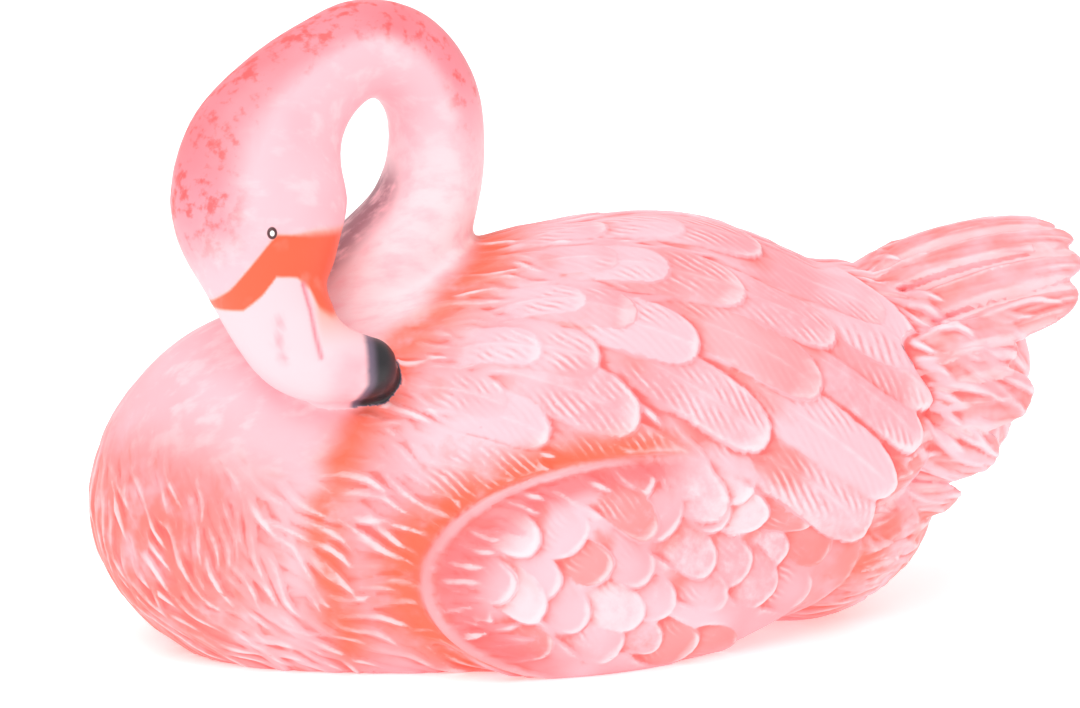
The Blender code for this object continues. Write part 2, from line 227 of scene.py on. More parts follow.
# Fine strokes of the plumage
LOCK_LENGTH = 0.034
LOCK_WIDTH = 0.0048
LOCK_HEIGHT = 0.0015
LOCK_GAP_ALONG = 0.0125
LOCK_GAP_ACROSS = 0.0031
LOCK_TRIES = 9000
RUMP_LOCK_TRIES = 1200

# Side of the cubes in which the points of the skin are looked up
CUBE = 0.012

# Head, as seen from its side: (x, z)
EYE = (-0.066, 0.153)
EYE_SIZE = (0.0016, 0.0019)
MOUTH = ((-0.056, 0.136), (-0.054, 0.128), (-0.053, 0.120), (-0.0515, 0.113))
NOSTRILS = ((-0.0645, 0.1240), (-0.0650, 0.1185), (-0.0640, 0.1130))
MASK_TOP = ((-0.086, 0.129), (-0.080, 0.134), (-0.069, 0.147), (-0.0645, 0.1520), (-0.040, 0.1500))
MASK_BOTTOM = (
    (-0.086, 0.127), (-0.076, 0.128), (-0.070, 0.133), (-0.065, 0.139), (-0.058, 0.1385),
    (-0.054, 0.136), (-0.051, 0.130), (-0.047, 0.1275), (-0.040, 0.127),
)

# Camera and stage
CAMERA_TURN = math.radians(-10)
CAMERA_RISE = math.radians(11.5)
CAMERA_LENS = 100
SENSOR_WIDTH = 36
PHOTO_SIZE = (1080, 708)
PIXEL = 0.00036
ORIGIN_PIXEL = (450, 624.5)
KEY_HEADING = (0.35, 0.50, -1.0)
KEY_STRENGTH = 1.50
KEY_SPREAD = math.radians(55)
SKY_STRENGTH = 0.76
FLOOR_GLOW = 0.36


def in_body(along, across, up):
    """A place given as shares of the trunk."""
    x = along * BODY_LENGTH - BREAST_REACH
    y = across * BODY_WIDTH / 2
    z = up * BODY_HEIGHT
    return np.array([x, y, z])


def curve(stations, at):
    """A smooth curve through (place, value, ...) rows, read at each of the places asked for."""
    rows = np.array(stations, float)
    place, value = rows[:, 0], rows[:, 1:]
    slope = np.gradient(value, place, axis=0)
    at = np.clip(at, place[0], place[-1])
    low = np.clip(np.searchsorted(place, at, side="right") - 1, 0, len(place) - 2)
    span = (place[low + 1] - place[low])[:, None]
    t = (at - place[low])[:, None] / span
    start = (2 * t**3 - 3 * t**2 + 1) * value[low] + (t**3 - 2 * t**2 + t) * span * slope[low]
    end = (3 * t**2 - 2 * t**3) * value[low + 1] + (t**3 - t**2) * span * slope[low + 1]
    return start + end


def rise(value, low, high):
    """0 below low, 1 above high, and a smooth step between; low may be the greater one."""
    t = np.clip((value - low) / (high - low), 0, 1)
    return t * t * (3 - 2 * t)


def bell(distance, width):
    """1 at no distance, falling off smoothly to either side."""
    return np.exp(-((distance / width) ** 2))


def placed(name, data):
    """A new object in the scene."""
    obj = bpy.data.objects.new(name, data)
    bpy.context.scene.collection.objects.link(obj)
    return obj


def object_from(bm, name):
    """The edited mesh as an object, with its faces pointing out."""
    bmesh.ops.recalc_face_normals(bm, faces=bm.faces)
    mesh = bpy.data.meshes.new(name)
    bm.to_mesh(mesh)
    bm.free()
    return placed(name, mesh)


def shaped_sphere(name, shape, around=64, along=52):
    """A sphere with its poles on X, whose points go through shape(c, ring, angle): c runs from -1 to 1
    along X, ring is the radius there, and angle is 0 on the +Y side and a quarter turn at the top."""
    bm = bmesh.new()
    bmesh.ops.create_uvsphere(bm, u_segments=around, v_segments=along, radius=1)
    points = np.array([v.co for v in bm.verts])
    c, y, z = points[:, 2], points[:, 0], points[:, 1]
    shaped = shape(c, np.hypot(y, z), np.arctan2(z, y))
    for vertex, place in zip(bm.verts, shaped):
        vertex.co = place
    return object_from(bm, name)


def ring_axes(middle):
    """For each point of a line, the directions along it, across the bird and away from both."""
    forward = np.gradient(middle, axis=0)
    forward /= np.linalg.norm(forward, axis=1)[:, None]
    across = np.array([0.0, 1.0, 0.0])
    wide = across - (forward @ across)[:, None] * forward
    wide /= np.linalg.norm(wide, axis=1)[:, None]
    return forward, wide, np.cross(wide, forward)


def sweep(name, middle, half_depth, half_width, around=48):
    """A closed form through elliptical rings round a line; their width lies across the bird."""
    _, wide, deep = ring_axes(middle)
    turn = np.linspace(0, 2 * math.pi, around, endpoint=False)
    bm = bmesh.new()
    rings = []
    for i, centre in enumerate(middle):
        up_and_down = np.outer(np.cos(turn), deep[i] * half_depth[i])
        sideways = np.outer(np.sin(turn), wide[i] * half_width[i])
        rings.append([bm.verts.new(p) for p in centre + up_and_down + sideways])
    for low, high in zip(rings, rings[1:]):
        for k in range(around):
            n = (k + 1) % around
            bm.faces.new((low[k], low[n], high[n], high[k]))
    bm.faces.new(rings[0])
    bm.faces.new(rings[-1])
    return object_from(bm, name)


def egg(name, side, centre, size, lean=0.0, dip=0.0, turn=0.0, taper=0.0):
    """An egg on the bird's left (side -1) or right (1). Its top leans inwards, its rear end dips and
    turns inwards, all in degrees, and taper makes it thinner to the rear."""
    lean, dip, turn = (math.radians(a) for a in (lean, dip, turn))
    long_axis = np.array([math.cos(dip) * math.cos(turn), -math.sin(turn), -math.sin(dip)])
    long_axis /= np.linalg.norm(long_axis)
    up = np.array([0.0, -math.sin(lean), math.cos(lean)])
    across = np.cross(up, long_axis)
    across /= np.linalg.norm(across)
    axes = np.stack([long_axis, across, np.cross(long_axis, across)])

    def shape(c, ring, angle):
        thick = ring * (1 - taper * c)
        local = np.stack([c, thick * np.cos(angle), thick * np.sin(angle)], axis=1)
        return (local * size / 2 @ axes + centre) * [1, side, 1]

    return shaped_sphere(name, shape)


def trunk():
    def shape(c, ring, angle):
        middle, half_width, half_height = curve(TRUNK_LINE, c).T
        exponent = np.where(np.sin(angle) < 0, LOWER_SQUARENESS, 2.0)
        edge = np.abs(np.cos(angle)) ** exponent + np.abs(np.sin(angle)) ** exponent
        reach = ring * edge ** (-1 / exponent)
        narrow = 1 - NARROWING_UPWARDS * np.sin(angle)
        across = half_width * reach * np.cos(angle) * narrow
        up = middle + half_height * reach * np.sin(angle) / 2
        return in_body((c + 1) / 2, across, up).T

    return shaped_sphere("trunk", shape)


def neck_rings(count=160):
    """Middles, half depths and half widths of the neck's rings, and the row of NECK_LINE of each."""
    rows = np.array(NECK_LINE)
    points = in_body(*NECK_FOOT) + rows[:, :3] * [-LOOP_REACH, -LOOP_REACH, LOOP_HEIGHT]
    steps = np.linalg.norm(np.diff(points, axis=0), axis=1)
    along = np.concatenate([[0], np.cumsum(steps)])
    table = np.column_stack([along, points, rows[:, 3:] * NECK_THICKNESS])
    at = np.linspace(0, along[-1], count)
    read = curve(table, at)
    return read[:, :3], read[:, 3], read[:, 4], np.interp(at, along, np.arange(len(rows)))


def neck():
    middle, half_depth, half_width, _ = neck_rings()
    return sweep("neck", middle, half_depth, half_width)


def rump():
    rows = np.array(RUMP_LINE)
    middle = np.array([in_body(along, 0, up) for along, up in rows[:, :2]])
    return sweep("rump", middle, rows[:, 2] * BODY_HEIGHT / 2, rows[:, 3] * BODY_WIDTH / 2)


def stern():
    """The underside of the rump, which rises from the ground."""
    size = np.array(STERN_SIZE) * [BODY_LENGTH, BODY_WIDTH / 2, BODY_HEIGHT]
    return egg("stern", 1, in_body(*STERN_MIDDLE), size, dip=-3, taper=0.06)


def wing(side):
    size = (WING_LENGTH, WING_THICKNESS, WING_HEIGHT)
    return egg("wing", side, in_body(*WING_MIDDLE), size, lean=22, dip=7, turn=5)


def flank(side):
    size = (FLANK_LENGTH, FLANK_THICKNESS, FLANK_HEIGHT)
    return egg("flank", side, in_body(*FLANK_MIDDLE), size, turn=12, dip=-0.5, taper=0.22)


def tail_places():
    """Root, tip, outward direction and side of each leaf of the tail, from the lowest to the top."""
    places = []
    for angle, *shares in reversed(TAIL_FEATHERS):
        short, length, lower = np.array(shares) * TAIL_FEATHER_LENGTH
        for side in (-1, 1) if angle else (1,):
            turn = math.radians(angle)
            outward = np.array([0.0, side * math.sin(turn), math.cos(turn)])
            ring = outward * [0, TAIL_WIDTH / 2, TAIL_HEIGHT / 2]
            middle = in_body(*TAIL_MIDDLE)
            tip = middle + ring + [TAIL_LENGTH - short, 0, 0]
            root = middle + ring * TAIL_ROOTS + [TAIL_LENGTH - short - length, 0, -lower]
            places.append((root, tip, outward, side))
    return places


def leaf(root, tip, outward):
    """A flat leaf of a tail feather with a rounded tip, thickest along its shaft."""
    along = tip - root
    length = np.linalg.norm(along)
    along /= length
    side = np.cross(outward, along)
    side /= np.linalg.norm(side)
    up = np.cross(along, side)

    def shape(c, ring, angle):
        full = np.sqrt(np.clip(1 - np.abs(c) ** 3.2, 0, 1))
        breadth = TAIL_FEATHER_WIDTH / 2 * (1 + TAIL_FEATHER_FLARE * (c - 1))
        arch = TAIL_FEATHER_ARCH * (1 - c**2)
        x = length * (c + 1) / 2
        y = full * breadth * np.cos(angle)
        z = full * TAIL_FEATHER_THICKNESS / 2 * np.sin(angle) + arch
        return root + np.outer(x, along) + np.outer(y, side) + np.outer(z, up)

    return shaped_sphere("tail_feather", shape, around=28, along=36)


def baked(obj):
    """The object with its modifiers turned into mesh."""
    graph = bpy.context.evaluated_depsgraph_get()
    mesh = bpy.data.meshes.new_from_object(obj.evaluated_get(graph))
    obj.modifiers.clear()
    obj.data = mesh
    return obj


def joined(name, parts, cell, smoothing):
    """One closed skin round all the parts, with its joins rounded by smoothing."""
    bm = bmesh.new()
    for part in parts:
        bm.from_mesh(part.data)
        bpy.data.objects.remove(part)
    obj = object_from(bm, name)
    remesh = obj.modifiers.new("Skin", "REMESH")
    remesh.mode = "VOXEL"
    remesh.voxel_size = cell
    smooth = obj.modifiers.new("Rounded joins", "SMOOTH")
    smooth.factor = 0.5
    smooth.iterations = smoothing
    return baked(obj)


def flank_reach(x, z):
    """Distance from the middle of the flank, 1 at its outline."""
    middle = in_body(*FLANK_MIDDLE)
    return np.hypot((x - middle[0]) / (FLANK_LENGTH / 2), (z - middle[2]) / (FLANK_HEIGHT / 2))


def flank_depth(points):
    """How far inside the flank's outline a place lies, in metres, as seen from the side."""
    return (1 - flank_reach(points[:, 0], points[:, 2])) * FLANK_HEIGHT / 2


def flank_front(points):
    """1 along the front and top of the flank, where its rim stands proud, and 0 round the rest."""
    middle = in_body(*FLANK_MIDDLE)
    angle = np.degrees(np.arctan2(points[:, 2] - middle[2], middle[0] - points[:, 0]))
    return rise(angle, -55, -25) * rise(angle, 120, 85)


class Skin:
    """The surface that is carved: its points in small cubes, and what the carving leaves on each."""

    def __init__(self, obj):
        mesh = obj.data
        count = len(mesh.vertices)
        self.points = np.empty((count, 3))
        self.normals = np.empty((count, 3))
        self.edges = np.empty((len(mesh.edges), 2), np.int32)
        mesh.vertices.foreach_get("co", self.points.ravel())
        mesh.vertices.foreach_get("normal", self.normals.ravel())
        mesh.edges.foreach_get("vertices", self.edges.ravel())
        self.side_face = rise(np.abs(self.normals[:, 1]), 0.35, 0.6)
        self.lift, self.root, self.tip, self.tail, self.closed = np.zeros((5, count))
        self.stroke, self.stroked = np.zeros((2, count))
        self.tone = np.full(count, 0.5)
        cells = np.floor(self.points / CUBE).astype(int)
        order = np.lexsort(cells.T)
        starts = np.flatnonzero(np.any(np.diff(cells[order], axis=0), axis=1)) + 1
        self.cubes = {tuple(cells[group[0]]): group for group in np.split(order, starts)}

    def near(self, low, high):
        """Numbers of the points in the cubes between two corners."""
        first = np.floor(low / CUBE).astype(int)
        last = np.floor(high / CUBE).astype(int)
        found = [
            self.cubes[i, j, k]
            for i in range(first[0], last[0] + 1)
            for j in range(first[1], last[1] + 1)
            for k in range(first[2], last[2] + 1)
            if (i, j, k) in self.cubes
        ]
        return np.concatenate(found) if found else np.empty(0, int)

    def seamless(self):
        """0 where the strokes of two feathers meet, so that no line runs across the seam."""
        a, b = self.edges.T
        jump = np.abs(self.stroke[a] - self.stroke[b])
        calm = np.ones(len(self.stroke))
        for _ in range(3):
            worst = np.where(jump > 0.45, 0.0, np.minimum(calm[a], calm[b]))
            np.minimum.at(calm, a, worst)
            np.minimum.at(calm, b, worst)
        return self.softened(calm, 2)

    def softened(self, values, rounds):
        """The values after that many rounds of averaging with their neighbours."""
        a, b = self.edges.T
        count = len(values)
        neighbours = np.bincount(a, minlength=count) + np.bincount(b, minlength=count)
        for _ in range(rounds):
            total = np.bincount(a, values[b], count) + np.bincount(b, values[a], count)
            values = 0.5 * values + 0.5 * total / neighbours
        return values


class Style:
    """How a kind of feather is carved."""

    shaft = barbs = edge = ragged = wave = 0.0
    spacing = 0.002
    barb_angle = 0.0
    barbs_end = 1.2
    flat = False

    def __init__(self, **traits):
        for name, value in traits.items():
            setattr(self, name, value)


PLUME = Style(tip_start=0.60, roundness=2.3, camber=0.35, softness=0.0010, shaft=0.0004,
              barbs=0.00048, spacing=0.0025, barb_angle=math.radians(27), ragged=0.04)
SCALE = Style(tip_start=0.45, roundness=2.4, camber=0.45, softness=0.0012, barbs=0.00045,
              spacing=0.0022, barb_angle=math.radians(14), edge=0.0004, barbs_end=0.62)
STREAK = Style(tip_start=0.30, roundness=1.8, camber=0.85, softness=0.0009, barbs=0.00020,
               spacing=0.0019, wave=0.25)
LOCK = Style(tip_start=0.30, roundness=1.8, camber=0.85, softness=0.0009, barbs=0.00020,
             spacing=0.0019, wave=0.65)
TAIL_LEAF = Style(tip_start=0.85, roundness=3.0, camber=0.0, softness=0.0009, shaft=0.0007,
                  barbs=0.00090, spacing=0.0040, barb_angle=math.radians(7), flat=True)


class Feather:
    """A feather lying on the skin: where it starts, which way it runs, and how high its tip stands."""

    def __init__(self, tip, normal, heading, side, size, style, bend=0.0, chance=0.5):
        self.normal = np.array(normal)
        along = heading - heading @ self.normal * self.normal
        self.along = along / np.linalg.norm(along)
        self.down = side * np.cross(self.normal, self.along)
        self.length, self.width, self.height = size
        self.tip = np.array(tip)
        self.root = self.tip - self.along * self.length
        self.style = style
        self.bend = bend
        self.chance = chance
        self.tone = 0.5 if style in (LOCK, STREAK, TAIL_LEAF) else chance * 7.3 % 1

    def carve(self, skin):
        """Brings the points that lie under this feather to its own height."""
        margin = self.width / 2 * (1 + abs(self.bend) + self.style.wave)
        low = np.minimum(self.root, self.tip) - margin
        high = np.maximum(self.root, self.tip) + margin
        near = skin.near(low, high)
        offset = skin.points[near] - self.root
        u = offset @ self.along / self.length
        v = offset @ self.down / (self.width / 2)
        v = v + self.bend * 4 * u * (1 - u) + self.style.wave * np.sin(u * 6.5 + self.chance * 12)
        facing = skin.normals[near] @ self.normal
        under = (u > -0.1) & (u < 1) & (np.abs(v) < 1) & (facing > 0.25)
        under &= np.abs(offset @ self.normal) < 0.6 * self.length
        near, u, v, facing = near[under], u[under], v[under], facing[under]
        if len(near) == 0:
            return
        style = self.style
        down = v * self.width / 2
        across = down * math.cos(style.barb_angle) - u * self.length * math.sin(style.barb_angle)
        waver = 0.22 * np.sin(u * 6 + self.chance * 30)
        waver += 0.10 * np.sin(u * 15 + v * 3 + self.chance * 11)
        stroke = across / style.spacing + waver
        number = np.floor(stroke)
        strength = 0.55 + 0.45 * np.sin(number * 2.4 + self.chance * 40)
        barb = strength * ((0.5 - 0.5 * np.cos(2 * math.pi * stroke)) ** 1.2 - 0.4)
        tip = np.clip((u - style.tip_start) / (1 - style.tip_start), 0, None)
        power = style.roundness
        outline = (np.abs(v) ** power + tip**power) ** (1 / power)
        outline += style.ragged * barb * rise(u, 0.3, 0.8)
        depth = (1 - outline) * self.width / 2
        inside = rise(depth, 0, style.softness)
        rooted = np.clip((u + 0.10) / 0.30, 0, 1)
        height = self.height * (0.15 + 0.85 * np.clip(u, 0, 1)) * (1 - style.camber * v**2)
        patch = rise(np.sin(u * 4.2 + v * 1.3 + self.chance * 20), 0.0, 0.8)
        away = rise(np.abs(v), 0.06, 0.25) * rise(depth, 0.0004, 0.0016)
        away *= rise(u, style.barbs_end, style.barbs_end - 0.35)
        height += style.barbs * barb * away * (0.35 + 0.65 * patch)
        height += style.shaft * bell(v, 0.10) * rise(u, 1.0, 0.8)
        height += style.edge * bell(depth - 0.0012, 0.0009) * rise(u, 0.3, 0.7)
        weight = inside * rooted * (1 - skin.closed[near]) * rise(facing, 0.25, 0.55)
        colour = rise(u, 0.55, 0.05) * rise(np.abs(v), 1.0, 0.3) * (0.25 + 0.75 * self.chance)
        bright = rise(u, 0.6, 0.95) * (0.4 + 0.6 * (1 - self.chance))
        if style.flat:
            colour = rise(u, 1.0, 0.3) * rise(np.abs(v), 0.75, 0.35) * self.chance
            bright = rise(np.abs(v), 0.40, 0.75) * rise(depth, 0.0, 0.0008)
            weight = weight * rise(skin.lift[near], 0.0012, 0.0002)
            skin.lift[near] += height * weight
            skin.tail[near] = np.maximum(skin.tail[near], weight)
        else:
            skin.lift[near] += (height - skin.lift[near]) * weight
        skin.stroke[near] = np.where(weight > 0.5, stroke, skin.stroke[near])
        shown = away * (0.12 + 0.88 * patch) * rise(weight, 0.6, 1.0)
        marks = ((skin.root, colour), (skin.tip, bright), (skin.tone, self.tone), (skin.stroked, shown))
        for mark, new in marks:
            mark[near] += (new - mark[near]) * weight


def lookup(obj):
    """Finds places on the surface of an object by rays."""
    points = [v.co for v in obj.data.vertices]
    return BVHTree.FromPolygons(points, [f.vertices for f in obj.data.polygons])


def slanting(degrees):
    """The heading of a feather that runs to the rear and that many degrees downwards."""
    slant = math.radians(degrees)
    return np.array([math.cos(slant), 0, -math.sin(slant)])


def laid(tree, along, angle, side):
    """Place and normal of the skin at that place and angle from the top of the body."""
    turn = math.radians(angle)
    outward = Vector((0, side * math.sin(turn), math.cos(turn)))
    return tree.ray_cast(Vector(in_body(along, 0, AXIS_HEIGHT)), outward)[:2]


def from_side(tree, x, z, side):
    """Place and normal of the skin as seen from that side of the bird."""
    return tree.ray_cast(Vector((x, side, z)), Vector((0, -side, 0)))[:2]


def wing_feathers(tree, chances):
    """The rows of the back and wings, rear rows first, each row from its lowest feather upwards."""
    found = []

    def add(along, angle, side, shares, slant, spread):
        """A feather near that place; spread is how far its slant may stray."""
        tip, normal = laid(tree, along, angle, side)
        size = shares * np.array([WING_FEATHER_LENGTH, WING_FEATHER_WIDTH, WING_FEATHER_HEIGHT])
        heading = slanting(slant + chances.normal(0, spread) if spread else slant)
        found.append(Feather(tip, normal, heading, side, size, PLUME, bend=WING_FEATHER_BEND,
                             chance=chances.random()))

    for angle, along, *shares, slant in WING_TIPS:
        for side in (-1, 1):
            add(along, angle, side, shares, slant, 0)
    for place, *shares, slant, top, bottom, step in WING_ROWS:
        for angle in np.arange(bottom, top, -step):
            along = place - (max(angle, ROW_TOP_LIMIT) - ROW_LEVEL) * ROW_SLOPE
            for side in (-1, 1):
                here = along + chances.normal(0, 0.008)
                add(here, angle + chances.normal(0, 1.2), side, shares, slant, 2)
    return found


def flank_scales(tree, chances):
    """Rounded scales in staggered rows inside the rim of each flank."""
    found = []
    middle = in_body(*FLANK_MIDDLE)
    slant = math.radians(FLANK_SLANT)
    size = np.array([FLANK_SCALE_LENGTH, FLANK_SCALE_WIDTH, FLANK_SCALE_HEIGHT])
    for column in range(5, -6, -1):
        for row in range(-3, 4):
            x = middle[0] + (column + (row % 2) / 2) * SCALE_GAPS[0] * FLANK_SCALE_WIDTH
            z = middle[2] + row * SCALE_GAPS[1] * FLANK_SCALE_WIDTH
            root_x = x - SCALE_SHOWN * FLANK_SCALE_LENGTH * math.cos(slant)
            root_z = z + SCALE_SHOWN * FLANK_SCALE_LENGTH * math.sin(slant)
            if flank_reach(x, z) > FLANK_RIM or flank_reach(root_x, root_z) > FLANK_ROOTS:
                continue
            for side in (-1, 1):
                across, up = chances.normal(0, SCALE_SPREAD)
                tip, normal = from_side(tree, x + across, z + up, side)
                heading = slanting(FLANK_SLANT + chances.normal(0, 8))
                own_size = size * (chances.uniform(0.90, 1.15), chances.uniform(0.82, 1.14), 1)
                found.append(Feather(tip, normal, heading, side, own_size, SCALE,
                                     bend=chances.uniform(-0.3, 0.3), chance=chances.random()))
    return found


def flank_strokes(tree, chances):
    """Long pale strokes that run inwards from the rim at the front of each flank."""
    found = []
    middle = in_body(*FLANK_MIDDLE)
    half = np.array([FLANK_LENGTH / 2, FLANK_HEIGHT / 2])
    for angle in np.arange(*STROKE_ANGLES):
        for side in (-1, 1):
            turn = math.radians(angle + chances.normal(0, 2))
            out = np.array([-math.cos(turn), math.sin(turn)])
            x, z = middle[[0, 2]] + out * half * chances.uniform(0.66, 0.80)
            tip, normal = from_side(tree, x, z, side)
            heading = np.array([-out[0] * half[0] + 0.05, 0, -out[1] * half[1] - 0.01])
            size = (STROKE_LENGTH * chances.uniform(0.8, 1.2), STROKE_WIDTH, STROKE_HEIGHT)
            found.append(Feather(tip, normal, heading, side, size, STREAK,
                                 bend=chances.uniform(-0.4, 0.4), chance=chances.random()))
    return found


def tail_leaves():
    """Shafts and barbs on the outer face of each tail feather."""
    found = []
    for root, tip, outward, side in tail_places():
        along = tip - root
        length = np.linalg.norm(along)
        normal = outward - outward @ along * along / length**2
        normal /= np.linalg.norm(normal)
        size = (length, TAIL_FEATHER_WIDTH, 0.0)
        coral = 0.45 + 0.55 * rise(tip[2], 0.125, 0.085)
        found.append(Feather(tip, normal, along, side, size, TAIL_LEAF, chance=coral))
    return found


def edge_place(z):
    """Where the neck ends and the plumage starts, at each height."""
    x_places, z_places = np.array(NECK_EDGE)[::-1].T
    return np.interp(z, z_places, x_places)


def smoothness(points):
    """1 on the smooth neck and upper breast, 0 on the plumage."""
    x, _, z = points.T
    front = rise(x, edge_place(z) + 0.001, edge_place(z) - 0.007)
    low_end = SMOOTH_BREAST_HEIGHT + 0.12 * (edge_place(z) - x)
    high = rise(z, low_end - 0.012, low_end + 0.010)
    return front * high


def lock_slant(points):
    """Degrees below the horizontal at which the strokes run: steep down the breast, flat elsewhere."""
    x, _, z = points.T
    steep = rise(x, -0.045, -0.100) * rise(z, 0.010, 0.055)
    back = rise(z, 0.100, 0.150)
    clumps = 13 * np.sin(x / 0.011 + z / 0.023) + 9 * np.sin(z / 0.009 - x / 0.031)
    return 27 + 44 * steep - 14 * back + clumps


def spread(points, along, down, chances):
    """Numbers of points picked at random that keep an oval distance from each other."""
    kept = np.empty(len(points), int)
    count = 0
    for i in chances.permutation(len(points)):
        offset = points[kept[:count]] - points[i]
        far = (offset @ along[i] / LOCK_GAP_ALONG) ** 2 + (offset @ down[i] / LOCK_GAP_ACROSS) ** 2 > 1
        far |= np.abs(offset).max(1) > LOCK_GAP_ALONG
        if far.all():
            kept[count] = i
            count += 1
    return kept[:count]


def locks(skin, place, tries, chances):
    """Fine wavy strokes on the plumage in that place, the rear and lower ones first."""
    free = (smoothness(skin.points) < 0.8) & (skin.normals[:, 2] > -0.9) & place
    free = np.flatnonzero(free & ~on_neck(skin.points, skin.normals))
    chosen = chances.choice(free, min(tries, len(free)), replace=False)
    points, normals = skin.points[chosen], skin.normals[chosen]
    slants = np.radians(lock_slant(points))
    heading = np.stack([np.cos(slants), 0 * slants, -np.sin(slants)], axis=1)
    along = heading - (heading * normals).sum(1)[:, None] * normals
    along /= np.linalg.norm(along, axis=1)[:, None]
    kept = spread(points, along, np.cross(normals, along), chances)
    kept = kept[np.argsort(points[kept, 2] * 0.6 - points[kept, 0])]
    fade = 1 - smoothness(points)
    found = []
    for i in kept:
        side = -1 if points[i, 1] < 0 else 1
        scale = chances.uniform(0.75, 1.25)
        height = LOCK_HEIGHT * scale * fade[i]
        size = (LOCK_LENGTH * scale, LOCK_WIDTH * chances.uniform(0.8, 1.3), height)
        turn = np.array([0, 0, chances.normal(0, 0.16)])
        found.append(Feather(points[i] + along[i] * LOCK_LENGTH / 2, normals[i], along[i] + turn, side,
                             size, LOCK, bend=chances.uniform(-0.5, 0.5), chance=chances.random()))
    return found


def neck_place(points, normals):
    """For each point, the nearest ring of the neck: its row in NECK_LINE, how far out the point lies
    in units of the ring's radius, its place from the inner (-1) to the outer side (1) of the loop, and
    how far it faces away from the ring's middle."""
    middle, half_depth, half_width, rows = neck_rings()
    _, wide, deep = ring_axes(middle)
    nearest = np.empty(len(points), int)
    for start in range(0, len(points), 20000):
        part = points[start:start + 20000]
        apart = ((part[:, None, :] - middle[None]) ** 2).sum(2)
        nearest[start:start + 20000] = np.argmin(apart / (half_depth * half_width), axis=1)
    offset = points - middle[nearest]
    outer = (offset * deep[nearest]).sum(1) / half_depth[nearest]
    sideways = (offset * wide[nearest]).sum(1) / half_width[nearest]
    radius = np.hypot(outer, sideways)
    facing = (offset * normals).sum(1) / np.maximum(np.linalg.norm(offset, axis=1), 1e-6)
    return rows[nearest], radius, outer / np.maximum(radius, 1e-6), facing


def on_neck(points, normals):
    """True on the neck, head and bill, above the place where the neck leaves the body."""
    row, radius, _, facing = neck_place(points, normals)
    return (row > 1.5) & (radius < 1.3) & (facing > 0)


def off_body(points, body):
    """1 on the free part of the tail, where no feather of the wing may lie."""
    off = np.zeros(len(points))
    for i in np.flatnonzero(points[:, 0] > WING_END):
        off[i] = rise(body.find_nearest(Vector(points[i]))[3], *BODY_CLOSENESS)
    return off


def carve(obj, body):
    """Carves the statue's skin and returns it with what the paint needs to know."""
    chances = np.random.default_rng(7)
    tree = lookup(obj)
    skin = Skin(obj)
    off = off_body(skin.points, body)
    ahead = skin.points[:, 0] < RUMP_START
    behind = ~ahead & (off < 0.5)
    strokes = locks(skin, ahead, LOCK_TRIES, chances)
    strokes += locks(skin, behind, RUMP_LOCK_TRIES, np.random.default_rng(8))
    for feather in strokes:
        feather.carve(skin)
    depth = flank_depth(skin.points)
    inside = rise(depth, 0, 0.0015) * skin.side_face
    skin.lift *= 1 - inside
    skin.lift += FLANK_STEP * inside
    skin.stroked *= 1 - inside
    front = flank_front(skin.points) * skin.side_face
    hollow = rise(depth, RIM_WIDTH, RIM_WIDTH * 1.4) * front
    hollow *= rise(depth, HOLLOW_WIDTH * 1.3, HOLLOW_WIDTH * 0.8)
    skin.lift += (FLANK_STEP * 0.4 - skin.lift) * hollow * 0.8
    for feather in flank_scales(tree, chances) + flank_strokes(tree, chances):
        feather.carve(skin)
    rim = bell(depth - RIM_WIDTH / 2, RIM_WIDTH / 2) * front
    rim *= rise(skin.points[:, 0], RIM_END[1], RIM_END[0])
    skin.lift += (FLANK_STEP + RIM_HEIGHT - skin.lift) * rim
    for mark in (skin.stroked, skin.tip, skin.root):
        mark *= 1 - rim
    over_flank = rise(skin.points[:, 0], WING_COVER[1], WING_COVER[0])
    skin.closed = np.maximum(rise(depth, -0.0015, 0.0005) * skin.side_face * over_flank, off)
    for feather in wing_feathers(tree, chances):
        feather.carve(skin)
    skin.closed *= 0
    for feather in tail_leaves():
        feather.carve(skin)
    steep = rise(np.abs(skin.lift - skin.softened(skin.lift, 2)), 0.00012, 0.00035)
    skin.lift += (skin.softened(skin.lift, 4) - skin.lift) * steep
    skin.lift = skin.softened(skin.lift, 1)
    return skin


def polyline_gap(points, line):
    """Distance in the side view between points and a line of (x, z) places."""
    flat = points[:, [0, 2]]
    best = np.full(len(points), np.inf)
    for start, end in zip(np.array(line), np.array(line)[1:]):
        along = end - start
        t = np.clip((flat - start) @ along / (along @ along), 0, 1)
        gap = np.linalg.norm(flat - start - t[:, None] * along, axis=1)
        best = np.minimum(best, gap)
    return best


def features(skin):
    """Grooves and bumps of the head: mouth line, crease and eye."""
    points = skin.points
    row, radius, _, facing = neck_place(points, skin.normals)
    head = (row > 9) & (radius < 1.3) & (row < 17) & (facing > 0)
    skin.lift *= 1 - rise(row, 8, 9) * rise(radius, 1.5, 1.3) * rise(facing, -0.2, 0.1)
    mouth = bell(polyline_gap(points, MOUTH), 0.0007) * head
    eye = np.hypot((points[:, 0] - EYE[0]) / EYE_SIZE[0], (points[:, 2] - EYE[1]) / EYE_SIZE[1])
    skin.lift -= 0.0009 * mouth
    skin.lift += 0.0007 * rise(eye, 1.1, 0.6) * head


def bill_tip(points, row, facing):
    """How far a place lies towards the dark tip of the bill: 0 where the grey starts, 1 where it is
    fully black."""
    x, _, z = points.T
    start = np.interp(z, (0.095, 0.103, 0.113), (-0.0445, -0.0400, -0.0400))
    return rise(x, start, start + 0.011) * (row > 13.5) * rise(facing, -0.1, 0.1)


